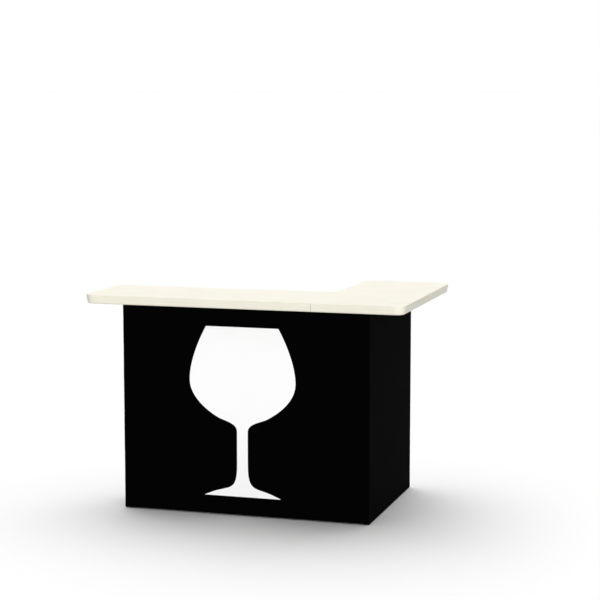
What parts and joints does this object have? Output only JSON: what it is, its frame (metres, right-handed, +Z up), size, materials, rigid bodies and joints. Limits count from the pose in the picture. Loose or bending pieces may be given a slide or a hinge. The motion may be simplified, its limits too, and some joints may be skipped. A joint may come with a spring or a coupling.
{
  "type": "portable bar counter",
  "caption": "Folding L-shaped portable bar: moulded counter panels lift off a hinged tube frame with a stretched fabric cover, bottle rails behind the front.",
  "frame": {"origin": "on the floor, under the centre of the counter's outline", "axes": "+Z up, +X to the right along the counter seen from the guests' side, the printed front faces -Y"},
  "size_m": [1.605, 1.01, 1.067],
  "materials": {
    "frame": "satin silver-grey powder coat",
    "counter": "cream moulded polyethylene, fine satin grain",
    "cover": "black woven polyester, printed front",
    "tape": "black hook and loop tape",
    "plastic": "black moulded tube ends",
    "bottle_rail": "brushed sheet",
    "steel": "zinc-plated"
  },
  "bodies": {
    "front_section": {"front_left_post": "frame", "front_right_post": "frame", "left_return_post": "frame", "right_return_post": "frame", "front_top_rail": "frame", "front_bottom_rail": "frame", "rear_top_rail": "frame", "rear_bottom_rail": "frame", "front_uprights": "frame", "left_return_rails": "frame", "right_return_rails": "frame", "upper_bottle_rail": "bottle_rail", "lower_bottle_rail": "bottle_rail", "bottle_rail_screws": "steel", "front_feet": "plastic", "front_post_plugs": "plastic", "counter_pegs": "steel", "front_counter_pads": "tape", "front_tapes": "tape", "front_cover": "cover", "left_cover_gusset": "cover", "right_cover_gusset": "cover", "left_hinge_frame_leaves": "steel", "right_hinge_frame_leaves": "steel", "left_hinge_pins": "steel", "right_hinge_pins": "steel", "frame_leaf_screws": "steel"},
    "right_wing": {"right_wing_front_post": "frame", "right_wing_rear_post": "frame", "right_wing_top_rail": "frame", "right_wing_middle_rail": "frame", "right_wing_bottom_rail": "frame", "right_hinge_wing_leaves": "steel", "right_wing_screws": "steel", "right_wing_feet": "plastic", "right_wing_plugs": "plastic", "right_wing_pads": "tape", "right_wing_tapes": "tape", "right_wing_cover": "cover", "right_wing_hem": "cover"},
    "left_wing": {"left_wing_front_post": "frame", "left_wing_rear_post": "frame", "left_wing_top_rail": "frame", "left_wing_middle_rail": "frame", "left_wing_bottom_rail": "frame", "left_hinge_wing_leaves": "steel", "left_wing_screws": "steel", "left_wing_feet": "plastic", "left_wing_plugs": "plastic", "left_wing_pads": "tape", "left_wing_tapes": "tape", "left_wing_cover": "cover", "left_wing_hem": "cover"},
    "long_counter": {"left_counter": "counter", "counter_dowels": "steel"},
    "return_counter": {"right_counter": "counter"}
  },
  "joints": [
    {"name": "right_wing_fold", "type": "hinge", "parent": "front_section", "child": "right_wing", "pos_m": [0.5861, -0.2955, 0.5], "axis": [0, 0, 1], "range_deg": [0, 90]},
    {"name": "left_wing_fold", "type": "hinge", "parent": "front_section", "child": "left_wing", "pos_m": [-0.5991, -0.2955, 0.5], "axis": [0, 0, -1], "range_deg": [0, 90]},
    {"name": "counter_lift", "type": "slide", "parent": "front_section", "child": "long_counter", "axis": [0, 0, 1], "range_m": [0, 0.3]},
    {"name": "return_counter_pull", "type": "slide", "parent": "long_counter", "child": "return_counter", "axis": [1, 0, 0], "range_m": [0, 0.06]}
  ]
}
